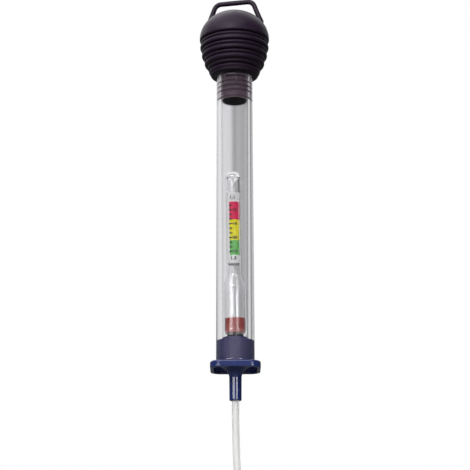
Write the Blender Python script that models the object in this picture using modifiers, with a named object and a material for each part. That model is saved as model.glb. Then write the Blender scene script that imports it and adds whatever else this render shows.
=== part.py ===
"""Battery acid tester: a rubber bulb draws acid up a clear barrel, and a weighted glass float reads it.

The part hangs by the loop on its bulb. The origin is the inner crown of that loop, and +Z points up.
All lengths are in metres and all angles in degrees.
"""

import math

import bmesh
import bpy
from mathutils import Matrix, Vector

# Clearances
seat_gap = 0.0003          # between pieces that touch on the real object
cut_overrun = 0.002        # how far a cutter runs past the face that it cuts
join_overlap = 0.0008      # how far joined shapes run into each other
weld_distance = 0.000001   # points nearer than this are one point

# Barrel
barrel_length = 0.2022
barrel_top_radius = 0.0125
barrel_foot_radius = 0.0129
bore_top_radius = 0.0096
bore_foot_radius = 0.0089
barrel_rim_chamfer = 0.0004

# Rubber bulb, from the loop down to the neck in the barrel
bulb_radius = 0.0245
dome_height = 0.0207
belly_length = 0.0288      # from the widest line to the barrel's rim
belly_reach = 0.0364       # half height of the ellipse that the ribs' crests follow
bulb_wall = 0.0028
first_notch_drop = 0.0047   # from the widest line to where the ribbed half begins
rib_count = 3
rib_pitch = 0.0063
rib_depth = 0.0018
collar_edge_drop = 0.0026   # from the last notch to where the collar's underside curves in
collar_foot_width = 0.0009  # how far the collar's foot stands out past the barrel
neck_length = 0.0174
neck_bore_radius = 0.0079
seal_ridge_count = 4
seal_ridge_first = 0.0016
seal_ridge_pitch = 0.0034
seal_ridge_width = 0.0018
seal_ridge_height = 0.0003
neck_lip_height = 0.0012
neck_lip_chamfer = 0.0004
# Below a notch comes a broad rib, a groove and a narrow bead: share of the pitch, share of the depth.
rib_shape_shares = (
    (0.00, 1.00), (0.10, 0.35), (0.22, 0.04), (0.34, 0.00), (0.46, 0.28),
    (0.57, 1.00), (0.66, 0.62), (0.77, 0.50), (0.89, 0.62),
)
# A ring around a plug, from its upper edge down: share of its width from the middle, share of its relief.
ring_shape_shares = ((0.5, 0.0), (0.2, 1.0), (-0.2, 1.0), (-0.5, 0.0))

# Hanging loop
loop_rod_radius = 0.0018
loop_clearance = 0.0055      # from the dome's top to the loop's inner crown
loop_corner_half_span = 0.0131
loop_corner_radius = 0.0062
loop_leg_lean = 21.5
loop_leg_length = 0.0134
loop_foot_lean = -12.0       # the foot turns in, to go into the dome
loop_foot_length = 0.0060
loop_turn = -13.0
# The rod thickens from the bar's middle to its foot: share of the way, share of the bar's radius.
loop_taper_shares = ((0.00, 1.00), (0.70, 1.00), (0.88, 1.25), (1.00, 1.70))

# Float: glass body and stem, scale, wax and shot
float_body_radius = 0.0079
float_stem_radius = 0.0052
float_glass_wall = 0.0008
float_body_height = 0.0357   # from the float's lowest point to the shoulder
float_shoulder_height = 0.0117
float_length = 0.1194
float_tip_height = 0.0030
float_lean = -0.75
scale_length = 0.0500
scale_top_drop = 0.0157      # from the stem's tip to the scale's upper edge
scale_paper_thickness = 0.0002
wax_foot_height = 0.0066
wax_height = 0.0092
wax_meniscus = 0.0008
shot_radius = 0.0013
shot_gap = 0.00015
shot_layer_count = 2

# Foot: plug, flange, underside and spigot
plug_height = 0.0169
plug_top_radius = 0.0082
plug_shoulder_height = 0.0034
flange_half_width = 0.0168
flange_corner_radius = 0.0078
flange_height = 0.0046
flange_edge_round = 0.0010
flange_rim_wall = 0.0024
flange_plate = 0.0016
hub_flare_reach = 0.0100
hub_flare_drop = 0.0080
spigot_top_radius = 0.00415
spigot_foot_radius = 0.00405
spigot_length = 0.0203       # below the flange's lower edge
spigot_end_chamfer = 0.0003
funnel_depth = 0.0050
inlet_radius = 0.0016
flow_slot_width = 0.0014
flow_slot_depth = 0.0010
socket_depth = 0.0150

# Suction tube
tube_radius = 0.0024
tube_bore_radius = 0.0015
tube_free_length = 0.0455
tube_bow = 0.0010            # how far the free end stands to the side

# Heights that follow from the sizes above
dome_top_z = -loop_clearance
crest_z = dome_top_z - dome_height
first_notch_z = crest_z - first_notch_drop
collar_top_z = first_notch_z - rib_count * rib_pitch
barrel_top_z = crest_z - belly_length
barrel_foot_z = barrel_top_z - barrel_length
flange_top_z = barrel_foot_z - seat_gap
flange_foot_z = flange_top_z - flange_height
plug_top_z = flange_top_z + plug_height
spigot_foot_z = flange_foot_z - spigot_length
socket_top_z = spigot_foot_z + socket_depth
funnel_foot_z = plug_top_z - funnel_depth

# Facets around a turned piece
wide_steps = 40
slim_steps = 24

# Sharp edges, in degrees between faces
shading_sharp_angle = 35.0
rounded_edge_angle = 50.0

collection = None
cutters = None


def clear_scene():
    for old in list(bpy.data.objects):
        bpy.data.objects.remove(old, do_unlink=True)


def new_collection(name):
    made = bpy.data.collections.new(name)
    bpy.context.scene.collection.children.link(made)
    return made


def material(name, colour, roughness, metallic=0.0, transmission=0.0):
    made = bpy.data.materials.new(name)
    made.use_nodes = True
    shader = made.node_tree.nodes["Principled BSDF"]
    shader.inputs["Base Color"].default_value = (*colour, 1.0)
    shader.inputs["Roughness"].default_value = roughness
    shader.inputs["Metallic"].default_value = metallic
    shader.inputs["Transmission Weight"].default_value = transmission
    made.diffuse_color = (*colour, 1.0)
    return made


def frame_empty(name, place=(0.0, 0.0, 0.0), turn=None, parent=None):
    """An empty that carries the pieces which move together."""
    empty = bpy.data.objects.new(name, None)
    collection.objects.link(empty)
    empty.location = place
    if turn:
        empty.rotation_euler = turn
    empty.parent = parent
    return empty


def add_object(name, data, finish=None, parent=None, cutter=False):
    made = bpy.data.objects.new(name, data)
    (cutters if cutter else collection).objects.link(made)
    if cutter:
        made.hide_render = True
        made.display_type = "WIRE"
    if finish:
        data.materials.append(finish)
    made.parent = parent
    return made


def turned(name, profile, steps, finish=None, parent=None, cutter=False, closed=True):
    """A turned solid. The profile's (radius, height) points run down its outer side."""
    mesh = bpy.data.meshes.new(name)
    points = [(radius, 0.0, height) for radius, height in profile]
    edges = [(n, n + 1) for n in range(len(points) - 1)]
    if closed:
        edges.append((len(points) - 1, 0))
    mesh.from_pydata(points, edges, [])
    made = add_object(name, mesh, finish, parent, cutter)
    screw = made.modifiers.new("turn", "SCREW")
    screw.axis = "Z"
    screw.angle = math.tau
    screw.steps = steps
    screw.render_steps = steps
    screw.use_merge_vertices = True
    screw.merge_threshold = weld_distance
    screw.use_smooth_shade = True
    return made


def boolean(target, helper, operation):
    cut = target.modifiers.new(f"{operation.lower()} {helper.name}", "BOOLEAN")
    cut.operation = operation
    cut.object = helper
    cut.solver = "EXACT"


def mesh_of_curve(curve_object):
    """The curve's mesh with its loose caps welded, so that a Boolean can use it."""
    bpy.context.view_layer.update()
    graph = bpy.context.evaluated_depsgraph_get()
    mesh = bpy.data.meshes.new_from_object(curve_object.evaluated_get(graph))
    shape = bmesh.new()
    shape.from_mesh(mesh)
    bmesh.ops.remove_doubles(shape, verts=shape.verts, dist=weld_distance)
    bmesh.ops.recalc_face_normals(shape, faces=shape.faces)
    shape.to_mesh(mesh)
    shape.free()
    bpy.data.objects.remove(curve_object, do_unlink=True)
    return mesh


def rod_mesh(name, points, radius, resolution=2, widths=None):
    """A round rod or tube's outside along the points. Widths are shares of the radius, one for each point."""
    curve = bpy.data.curves.new(name, "CURVE")
    curve.dimensions = "3D"
    curve.bevel_depth = radius
    curve.bevel_resolution = resolution
    curve.use_fill_caps = True
    spline = curve.splines.new("POLY")
    spline.points.add(len(points) - 1)
    for spot, point, width in zip(spline.points, points, widths or [1.0] * len(points)):
        spot.co = (*point, 1.0)
        spot.radius = width
    return mesh_of_curve(add_object(name + "_path", curve))


def plate_mesh(name, half_width, corner_radius, thickness, corner_steps=6):
    """A rounded square plate, centred on its middle plane."""
    curve = bpy.data.curves.new(name, "CURVE")
    curve.dimensions = "2D"
    curve.fill_mode = "BOTH"
    curve.extrude = thickness / 2
    straight = half_width - corner_radius
    points = []
    for corner in range(4):
        middle = math.radians(45 + 90 * corner)
        centre = straight * Vector((math.copysign(1, math.cos(middle)), math.copysign(1, math.sin(middle))))
        for step in range(corner_steps + 1):
            angle = math.radians(90 * corner + 90 * step / corner_steps)
            points.append(centre + corner_radius * Vector((math.cos(angle), math.sin(angle))))
    spline = curve.splines.new("POLY")
    spline.points.add(len(points) - 1)
    for spot, point in zip(spline.points, points):
        spot.co = (point.x, point.y, 0.0, 1.0)
    spline.use_cyclic_u = True
    return mesh_of_curve(add_object(name + "_outline", curve))


def smooth(mesh):
    mesh.shade_smooth()
    mesh.set_sharp_from_angle(angle=math.radians(shading_sharp_angle))


def belly_radius(z):
    """Radius of the smooth form that the bulb's crests follow, at a height."""
    reach = dome_height if z > crest_z else belly_reach
    return bulb_radius * math.sqrt(max(0.0, 1 - ((z - crest_z) / reach) ** 2))


def cavity_radius(z):
    """Radius of the bulb's hollow, one wall inside the same form."""
    reach = (dome_height if z > crest_z else belly_reach) - bulb_wall
    return (bulb_radius - bulb_wall) * math.sqrt(max(0.0, 1 - ((z - crest_z) / reach) ** 2))


def bore_radius(z):
    share = (barrel_top_z - z) / barrel_length
    return bore_top_radius + (bore_foot_radius - bore_top_radius) * share


def rib_points(top_z, pitch, first_z, last_z):
    """Outer points of the rib below the notch at top_z, as far as they lie between two heights."""
    points = []
    for drop_share, depth_share in rib_shape_shares:
        z = top_z - drop_share * pitch
        if first_z >= z >= last_z:
            points.append((belly_radius(z) - rib_depth * depth_share, z))
    return points


def ring_points(side, middle, width, relief):
    """Outer points of one ring around a plug, from its upper edge down. Relief is minus for a groove."""
    return [
        (side + relief * relief_share, middle + width * offset_share)
        for offset_share, relief_share in ring_shape_shares
    ]


def value_at(shares, place):
    """Value of a table of (place, value) pairs at a place, on straight lines between them."""
    for (start, first), (end, last) in zip(shares, shares[1:]):
        if place <= end:
            return first + (last - first) * (place - start) / (end - start)
    return shares[-1][1]


def make_bulb(parent, finish):
    """The smooth dome and the bead under its edge, down to the first notch."""
    foot_z = first_notch_z + seat_gap / 2
    outer_steps = 9
    profile = []
    for step in range(outer_steps + 1):
        angle = math.radians(90 * (1 - step / outer_steps))
        profile.append((bulb_radius * math.cos(angle), crest_z + dome_height * math.sin(angle)))
    profile[0] = (0.0, dome_top_z)
    profile += rib_points(first_notch_z + rib_pitch, rib_pitch, crest_z - join_overlap, foot_z)
    profile.append((belly_radius(foot_z) - rib_depth, foot_z))
    profile.append((cavity_radius(foot_z), foot_z))
    for step in range(outer_steps + 1):
        angle = math.radians(90 * step / outer_steps)
        profile.append((
            (bulb_radius - bulb_wall) * math.cos(angle),
            crest_z + (dome_height - bulb_wall) * math.sin(angle),
        ))
    profile[-1] = (0.0, dome_top_z - bulb_wall)
    return turned("bulb_dome", profile, wide_steps, finish, parent, closed=False)


def make_bellows(parent, finish):
    """The ribbed lower half, which folds as the bulb is squeezed."""
    top_z = first_notch_z - seat_gap / 2
    foot_z = collar_top_z + seat_gap / 2
    pitch = (top_z - foot_z) / rib_count
    profile = []
    for rib in range(rib_count):
        profile += rib_points(top_z - rib * pitch, pitch, top_z, foot_z)
    profile.append((belly_radius(foot_z) - rib_depth, foot_z))
    inner_steps = 2 * rib_count
    for step in range(inner_steps + 1):
        z = foot_z + (top_z - foot_z) * step / inner_steps
        profile.append((cavity_radius(z), z))
    return turned("bulb_bellows", profile, wide_steps, finish, parent)


def make_neck(parent, finish):
    """The collar on the barrel's rim and the ridged plug inside the barrel."""
    top_z = collar_top_z - seat_gap / 2
    foot_z = barrel_top_z + seat_gap
    mouth_z = barrel_top_z - neck_length
    edge_z = top_z - collar_edge_drop
    foot_radius = barrel_top_radius + collar_foot_width
    profile = rib_points(top_z, rib_pitch, top_z, edge_z)
    round_steps = 4
    for step in range(round_steps + 1):
        angle = math.radians(90 * step / round_steps)
        profile.append((
            foot_radius + (belly_radius(edge_z) - foot_radius) * math.cos(angle),
            edge_z - (edge_z - foot_z) * math.sin(angle),
        ))
    side = bore_radius(mouth_z) - seat_gap
    recess = side - seal_ridge_height
    profile.append((recess, foot_z))
    for ridge in range(seal_ridge_count):
        middle = barrel_top_z - seal_ridge_first - ridge * seal_ridge_pitch
        profile += ring_points(recess, middle, seal_ridge_width, seal_ridge_height)
    profile.append((recess, mouth_z + neck_lip_height + seal_ridge_height))
    profile.append((side, mouth_z + neck_lip_height))
    profile.append((side, mouth_z + neck_lip_chamfer))
    profile.append((side - neck_lip_chamfer, mouth_z))
    profile.append((neck_bore_radius, mouth_z))
    profile.append((neck_bore_radius, foot_z))
    profile.append((cavity_radius(top_z), top_z))
    return turned("bulb_neck", profile, wide_steps, finish, parent)


def make_loop(parent, finish):
    """The hanging loop: a rod bent over two corners, with its feet cut to the dome."""
    lean = math.radians(loop_leg_lean)
    bend = math.pi / 2 - lean
    bar_z = loop_rod_radius
    straight_half = loop_corner_half_span - loop_corner_radius * math.tan(bend / 2)
    arc_steps = 6
    half = []
    for step in range(arc_steps + 1):
        angle = bend * step / arc_steps
        half.append((
            straight_half + loop_corner_radius * math.sin(angle),
            bar_z - loop_corner_radius * (1 - math.cos(angle)),
        ))
    leg_steps = 3
    for length, angle in ((loop_leg_length, lean), (loop_foot_length, math.radians(loop_foot_lean))):
        start_x, start_z = half[-1]
        for step in range(1, leg_steps + 1):
            reach = length * step / leg_steps
            half.append((start_x + reach * math.sin(angle), start_z - reach * math.cos(angle)))
    path = [(-x, 0.0, z) for x, z in reversed(half)] + [(x, 0.0, z) for x, z in half]
    way = [straight_half]
    for (last_x, last_z), (x, z) in zip(half, half[1:]):
        way.append(way[-1] + math.hypot(x - last_x, z - last_z))
    widths = [value_at(loop_taper_shares, length / way[-1]) for length in way]
    mesh = rod_mesh("hanging_loop", path, loop_rod_radius, widths=list(reversed(widths)) + widths)
    smooth(mesh)
    loop = add_object("hanging_loop", mesh, finish, parent)
    loop.rotation_euler = (0.0, 0.0, math.radians(loop_turn))
    clear_of_dome = []
    steps = 18
    for step in range(steps + 1):
        angle = math.radians(90 - 180 * step / steps)
        clear_of_dome.append((
            (bulb_radius + seat_gap) * math.cos(angle),
            crest_z + (dome_height + seat_gap) * math.sin(angle),
        ))
    clear_of_dome[0] = (0.0, dome_top_z + seat_gap)
    clear_of_dome[-1] = (0.0, crest_z - dome_height - seat_gap)
    dome = turned("dome_cutter", clear_of_dome, wide_steps, cutter=True, closed=False)
    boolean(loop, dome, "DIFFERENCE")
    return loop


def make_barrel(parent, finish):
    chamfer = barrel_rim_chamfer
    profile = [
        (bore_top_radius, barrel_top_z),
        (barrel_top_radius - chamfer, barrel_top_z),
        (barrel_top_radius, barrel_top_z - chamfer),
        (barrel_foot_radius, barrel_foot_z + chamfer),
        (barrel_foot_radius - chamfer, barrel_foot_z),
        (bore_foot_radius, barrel_foot_z),
    ]
    return turned("barrel", profile, wide_steps, finish, parent)


def make_foot(parent, finish):
    """One moulding: the flange, joined by the plug above it and the flared hub with its spigot below it."""
    flange = plate_mesh("foot", flange_half_width, flange_corner_radius, flange_height)
    foot = add_object("foot", flange, finish, parent)
    foot.location.z = (flange_top_z + flange_foot_z) / 2
    edge = foot.modifiers.new("rounded edges", "BEVEL")
    edge.width = flange_edge_round
    edge.segments = 3
    edge.limit_method = "ANGLE"
    edge.angle_limit = math.radians(rounded_edge_angle)
    ceiling_z = flange_top_z - flange_plate
    boolean(foot, underside_hollow(ceiling_z), "DIFFERENCE")
    boolean(foot, plug_body(), "UNION")
    boolean(foot, hub_body(ceiling_z), "UNION")
    boolean(foot, waterway(), "DIFFERENCE")
    for number in range(2):
        boolean(foot, flow_slot(number), "DIFFERENCE")
    return foot


def underside_hollow(ceiling_z):
    depth = ceiling_z - flange_foot_z + cut_overrun
    mesh = plate_mesh(
        "underside_cutter",
        flange_half_width - flange_rim_wall,
        flange_corner_radius - flange_rim_wall,
        depth,
    )
    cutter = add_object("underside_cutter", mesh, cutter=True)
    cutter.location.z = ceiling_z - depth / 2
    return cutter


def plug_body():
    side = bore_foot_radius - seat_gap
    shoulder_z = plug_top_z - plug_shoulder_height
    profile = [(0.0, plug_top_z), (plug_top_radius, plug_top_z)]
    bulge_steps = 4
    for step in range(1, bulge_steps + 1):
        angle = math.radians(90 * step / bulge_steps)
        bulge = plug_top_radius + (side - plug_top_radius) * math.sin(angle)
        slope = plug_top_radius + (side - plug_top_radius) * step / bulge_steps
        profile.append(((bulge + slope) / 2, plug_top_z - plug_shoulder_height * step / bulge_steps))
    profile.append((side, flange_top_z - join_overlap))
    profile.append((0.0, flange_top_z - join_overlap))
    return turned("plug_body", profile, wide_steps, cutter=True, closed=False)


def hub_body(ceiling_z):
    """The hub flares like a trumpet from the spigot into the flange's plate."""
    top_z = ceiling_z + join_overlap
    profile = [(0.0, top_z), (spigot_top_radius + hub_flare_reach, top_z)]
    steps = 7
    for step in range(steps + 1):
        angle = math.radians(90 * (1 - step / steps))
        profile.append((
            spigot_top_radius + hub_flare_reach * (1 - math.cos(angle)),
            ceiling_z - hub_flare_drop * (1 - math.sin(angle)),
        ))
    profile.append((spigot_foot_radius, spigot_foot_z + spigot_end_chamfer))
    profile.append((spigot_foot_radius - spigot_end_chamfer, spigot_foot_z))
    profile.append((0.0, spigot_foot_z))
    return turned("hub_body", profile, wide_steps, cutter=True, closed=False)


def funnel_rim_radius():
    """Where a 45 degree funnel, one gap clear of the float's round end, meets the plug's top."""
    return funnel_depth + inlet_radius


def waterway():
    """The funnel seat, the inlet and the socket for the suction tube, cut as one turned shape."""
    socket_radius = tube_radius + seat_gap
    profile = [
        (0.0, plug_top_z + cut_overrun),
        (funnel_rim_radius() + cut_overrun, plug_top_z + cut_overrun),
        (inlet_radius, funnel_foot_z),
        (inlet_radius, socket_top_z),
        (socket_radius, socket_top_z),
        (socket_radius, spigot_foot_z - cut_overrun),
        (0.0, spigot_foot_z - cut_overrun),
    ]
    return turned("waterway_cutter", profile, slim_steps, cutter=True, closed=False)


def flow_slot(number):
    """One of two crossed slots in the funnel, which keep the inlet open under the float."""
    length = funnel_rim_radius() * math.sqrt(2)
    depth = funnel_depth + flow_slot_depth
    mesh = bpy.data.meshes.new(f"flow_slot_cutter_{number}")
    shape = bmesh.new()
    bmesh.ops.create_cube(shape, size=1.0)
    bmesh.ops.scale(shape, verts=shape.verts, vec=(length, flow_slot_width, depth))
    shape.to_mesh(mesh)
    shape.free()
    cutter = add_object(mesh.name, mesh, cutter=True)
    cutter.location.z = plug_top_z + cut_overrun - depth / 2
    cutter.rotation_euler.z = math.radians(90 * number + 45)
    return cutter


def make_suction_tube(parent, finish):
    top_z = socket_top_z - seat_gap
    tip_z = spigot_foot_z - tube_free_length
    steps = 10

    def spine(overrun):
        points = [(0.0, 0.0, top_z + overrun), (0.0, 0.0, spigot_foot_z)]
        for step in range(1, steps + 1):
            share = step / steps
            points.append((tube_bow * share ** 2, 0.0, spigot_foot_z - tube_free_length * share))
        points[-1] = (tube_bow, 0.0, tip_z - overrun)
        return points

    outside = rod_mesh("suction_tube", spine(0.0), tube_radius, resolution=4)
    smooth(outside)
    tube = add_object("suction_tube", outside, finish, parent)
    bore = rod_mesh("tube_bore", spine(cut_overrun), tube_bore_radius, resolution=3)
    boolean(tube, add_object("tube_bore_cutter", bore, cutter=True), "DIFFERENCE")
    return tube


def glass_line(offset):
    """Half outline of the float's glass, down from the stem's top, moved in by an offset."""
    body = float_body_radius - offset
    stem = float_stem_radius - offset
    stem_top = float_length - float_tip_height
    points = [(stem, stem_top)]
    shoulder_steps = 6
    for step in range(shoulder_steps + 1):
        share = step / shoulder_steps
        ease = (1 - math.cos(math.pi * share)) / 2
        height = float_body_height + float_shoulder_height * (1 - share)
        points.append((stem + (body - stem) * ease, height))
    bowl_steps = 6
    for step in range(bowl_steps + 1):
        angle = math.radians(90 * step / bowl_steps)
        points.append((body * math.cos(angle), float_body_radius - body * math.sin(angle)))
    points[-1] = (0.0, offset)
    return points


def make_float(parent, glass, paper, wax, lead):
    outer = glass_line(0.0)
    inner = glass_line(float_glass_wall)
    turned("float_glass", list(reversed(inner)) + outer, slim_steps, glass, parent, closed=False)
    make_stem_tip(parent, glass)
    make_scale(parent, paper)
    make_wax(parent, wax)
    make_shot(parent, lead)


def make_stem_tip(parent, glass):
    """The stem's melted end: a small dome of glass."""
    foot = float_length - float_tip_height + seat_gap
    steps = 5
    profile = []
    for radius, height in (
        (float_stem_radius, float_tip_height - seat_gap),
        (float_stem_radius - float_glass_wall, float_tip_height - seat_gap - float_glass_wall),
    ):
        arc = []
        for step in range(steps + 1):
            angle = math.radians(90 * (1 - step / steps))
            arc.append((radius * math.cos(angle), foot + height * math.sin(angle)))
        arc[0] = (0.0, foot + height)
        profile += arc if not profile else list(reversed(arc))
    turned("float_stem_tip", profile, slim_steps, glass, parent, closed=False)


def make_scale(parent, paper):
    outside = float_stem_radius - float_glass_wall - seat_gap
    inside = outside - scale_paper_thickness
    top = float_length - scale_top_drop
    foot = top - scale_length
    profile = [(inside, top), (outside, top), (outside, foot), (inside, foot)]
    turned("scale_paper", profile, slim_steps, paper, parent)


def bowl_radius(height, clearance):
    """Free radius inside the float's body at a height above its lowest point."""
    reach = float_body_radius - float_glass_wall - clearance
    below = max(0.0, float_body_radius - height)
    return math.sqrt(max(0.0, reach ** 2 - below ** 2))


def make_wax(parent, wax):
    top = wax_foot_height + wax_height
    rim = bowl_radius(top, seat_gap)
    profile = [(0.0, top - wax_meniscus), (rim - 2 * wax_meniscus, top - wax_meniscus), (rim, top)]
    steps = 4
    for step in range(1, steps + 1):
        height = top - wax_height * step / steps
        profile.append((bowl_radius(height, seat_gap), height))
    profile.append((0.0, wax_foot_height))
    turned("sealing_wax", profile, slim_steps, wax, parent, closed=False)


def shot_places():
    """Centres of balls stacked in triangular layers in the float's round end."""
    pitch = 2 * shot_radius + shot_gap
    first = float_glass_wall + shot_radius + shot_gap
    places = []
    for layer in range(shot_layer_count):
        height = first + layer * pitch * math.sqrt(2 / 3)
        shift = layer * pitch / math.sqrt(3)
        room = bowl_radius(height, shot_radius + shot_gap)
        reach = math.ceil(room / pitch) + 2
        for row in range(-reach, reach + 1):
            for column in range(-reach, reach + 1):
                x = pitch * (column + row / 2)
                y = pitch * row * math.sqrt(3) / 2 + shift
                if math.hypot(x, y) <= room + shot_gap:
                    places.append((x, y, height))
    return places


def make_shot(parent, lead):
    mesh = bpy.data.meshes.new("lead_shot")
    shape = bmesh.new()
    bmesh.ops.create_icosphere(shape, subdivisions=2, radius=shot_radius)
    shape.to_mesh(mesh)
    shape.free()
    mesh.materials.append(lead)
    mesh.shade_smooth()
    for number, place in enumerate(shot_places(), 1):
        ball = add_object(f"lead_shot_{number:02d}", mesh, parent=parent)
        ball.location = place


def build():
    global collection, cutters
    clear_scene()
    collection = new_collection("battery_acid_tester")
    cutters = new_collection("cutters")
    rubber = material("black_rubber", (0.045, 0.038, 0.05), 0.55)
    clear = material("clear_barrel", (0.9, 0.92, 0.93), 0.05, transmission=1.0)
    blue = material("blue_moulding", (0.03, 0.05, 0.2), 0.25)
    milky = material("milky_tube", (0.85, 0.86, 0.86), 0.3, transmission=0.6)
    glass = material("float_glass", (0.95, 0.96, 0.96), 0.02, transmission=1.0)
    paper = material("scale_paper", (0.85, 0.84, 0.8), 0.7)
    wax = material("red_wax", (0.45, 0.06, 0.05), 0.45)
    lead = material("grey_lead", (0.12, 0.12, 0.13), 0.4, metallic=0.9)

    bulb_frame = frame_empty("bulb_frame")
    make_loop(bulb_frame, rubber)
    make_bulb(bulb_frame, rubber)
    make_bellows(bulb_frame, rubber)

    barrel_frame = frame_empty("barrel_frame")
    make_neck(barrel_frame, rubber)
    make_barrel(barrel_frame, clear)
    make_foot(barrel_frame, blue)
    make_suction_tube(barrel_frame, milky)

    # The float leans about the centre of its round end, so that its seat stays even.
    seat_z = funnel_foot_z - inlet_radius + math.sqrt(2) * (float_body_radius + seat_gap)
    lean_frame = frame_empty("float_frame", (0.0, 0.0, seat_z), (0.0, math.radians(float_lean), 0.0))
    float_frame = frame_empty("float_foot", (0.0, 0.0, -float_body_radius), parent=lean_frame)
    make_float(float_frame, glass, paper, wax, lead)
    bpy.context.view_layer.update()


build()
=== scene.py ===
"""Looks of the battery acid tester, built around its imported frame.

Lengths are in metres and angles in degrees. Heights are the frame's: zero is the inner crown of the
hanging loop, and the suction tube points down. The float's own heights start at its lowest point.
"""

import math

import bmesh
import bpy
from mathutils import Matrix, Vector


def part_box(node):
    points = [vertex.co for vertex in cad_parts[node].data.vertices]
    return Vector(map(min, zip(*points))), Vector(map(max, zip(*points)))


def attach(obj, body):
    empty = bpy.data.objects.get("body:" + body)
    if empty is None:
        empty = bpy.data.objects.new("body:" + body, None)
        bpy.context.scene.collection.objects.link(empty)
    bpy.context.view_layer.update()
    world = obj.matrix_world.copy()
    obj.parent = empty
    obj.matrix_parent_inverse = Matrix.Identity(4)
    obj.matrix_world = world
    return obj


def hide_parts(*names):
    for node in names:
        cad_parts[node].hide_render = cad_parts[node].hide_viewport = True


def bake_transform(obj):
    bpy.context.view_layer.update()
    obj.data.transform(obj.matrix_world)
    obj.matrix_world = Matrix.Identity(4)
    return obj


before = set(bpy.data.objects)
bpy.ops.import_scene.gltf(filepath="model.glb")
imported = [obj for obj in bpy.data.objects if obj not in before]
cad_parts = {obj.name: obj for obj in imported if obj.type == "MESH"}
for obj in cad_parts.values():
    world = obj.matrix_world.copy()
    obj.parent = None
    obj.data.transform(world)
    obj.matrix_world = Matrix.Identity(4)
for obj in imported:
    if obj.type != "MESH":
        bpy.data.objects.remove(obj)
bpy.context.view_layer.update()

# Heights and radii read from the frame
dome_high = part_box("bulb_dome")[1]
bellows_low, bellows_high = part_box("bulb_bellows")
neck_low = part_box("bulb_neck")[0]
barrel_low, barrel_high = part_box("barrel")
foot_low, foot_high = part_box("foot")
tube_low, tube_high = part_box("suction_tube")

seat_gap = 0.0003
optical_contact = 0.00006      # how far rubber and moulding press into the barrel's wall
wall_start = 0.0012            # from a wall's end to an extra ring that keeps its shading straight

# Rubber bulb
bulb_radius = dome_high.x
bulb_wall = 0.0028
dome_top_z = dome_high.z
dome_height = 0.0207
belly_reach = 0.0364           # half height of the ellipse that the ribs' crests follow
first_notch_z = bellows_high.z + seat_gap / 2
collar_top_z = bellows_low.z - seat_gap / 2
rib_count = 3
rib_depth = 0.0016
# Below a notch comes a broad rib, a groove and a narrow bead: share of the pitch, share of the depth.
rib_shape_shares = (
    (0.00, 1.00), (0.04, 0.84), (0.10, 0.36), (0.18, 0.08), (0.26, 0.00), (0.36, 0.00), (0.45, 0.12),
    (0.51, 0.40), (0.56, 0.95), (0.59, 1.05), (0.62, 0.90), (0.68, 0.52), (0.77, 0.42), (0.86, 0.48),
    (0.94, 0.78), (1.00, 1.00),
)
collar_crest_share = 0.28      # of a rib's pitch, below the last notch
collar_edge_drop = 0.0029      # from the last notch to where the underside curves in
collar_foot_width = 0.0007
neck_bore_radius = 0.0081
seal_ridge_count = 4
seal_ridge_first = 0.0014
seal_ridge_pitch = 0.0034
seal_ridge_width = 0.0018
seal_ridge_height = 0.0003
seal_ridge_round = 0.00014
# Across a ridge, down the neck: share of its width from its middle, share of its height.
seal_ridge_shares = ((0.5, 0.0), (0.3, 1.0), (-0.3, 1.0), (-0.5, 0.0))
neck_lip_height = 0.0012
neck_lip_round = 0.0004
neck_bore_ring = 0.0040        # from the mouth to the bore's first ring
crest_z = dome_top_z - dome_height
mouth_z = neck_low.z

# Hanging loop
loop_bar_radius = 0.0018
loop_corner_half_span = 0.0132
loop_corner_radius = 0.0052
# Thickness of the loop's rod from the bar's middle to its foot: share of the way, share of the bar's.
loop_taper_shares = ((0.0, 1.0), (0.70, 1.0), (0.88, 1.2), (1.0, 1.55))
loop_leg_lean = 20.8
loop_leg_length = 0.0134
loop_foot_lean = -12.0
loop_foot_length = 0.0060
loop_turn = -13.0

# Barrel
barrel_top_z = barrel_high.z
barrel_foot_z = barrel_low.z
barrel_top_radius = 0.0125
barrel_foot_radius = barrel_high.x
bore_top_radius = 0.0096
bore_foot_radius = 0.0089
barrel_rim_round = 0.0005
bore_rim_round = 0.0002
bore_ring = 0.0020             # from either rim to the bore's first ring

# Foot
plug_top_z = foot_high.z
plug_height = 0.0169
plug_top_radius = 0.0085
plug_shoulder_height = 0.0012
plug_ring = 0.0004             # from a rounding to an extra ring, as for the other rings below
plug_foot_round = 0.0003
flange_half_width = foot_high.x
flange_corner_radius = 0.0074
least_corner_radius = 0.0008
flange_height = 0.0046
flange_edge_round = 0.0011
flange_foot_round = 0.0005
flange_ring = 0.0002
flange_top_ring = 0.0012       # the same on the flange's top
flange_rim_wall = 0.0024
rim_inner_round = 0.0004
ceiling_round = 0.0006
flange_plate = 0.0016
hub_flare_reach = 0.0100
hub_flare_drop = 0.0080
spigot_top_radius = 0.00415
spigot_foot_radius = 0.00405
spigot_end_round = 0.0005
spigot_ring = 0.0003
funnel_depth = 0.0050
funnel_rim_round = 0.0002
inlet_radius = 0.0016
inlet_ring = 0.0003
flow_slot_width = 0.0014
flow_slot_depth = 0.0010
socket_depth = 0.0150
socket_mouth_round = 0.0002
flange_top_z = plug_top_z - plug_height
flange_foot_z = flange_top_z - flange_height
ceiling_z = flange_top_z - flange_plate
spigot_foot_z = foot_low.z
socket_top_z = spigot_foot_z + socket_depth
funnel_foot_z = plug_top_z - funnel_depth

# Suction tube
tube_radius = 0.0024
tube_bore_radius = 0.0015
tube_tip_z = tube_low.z
tube_bow = 0.0010

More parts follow.
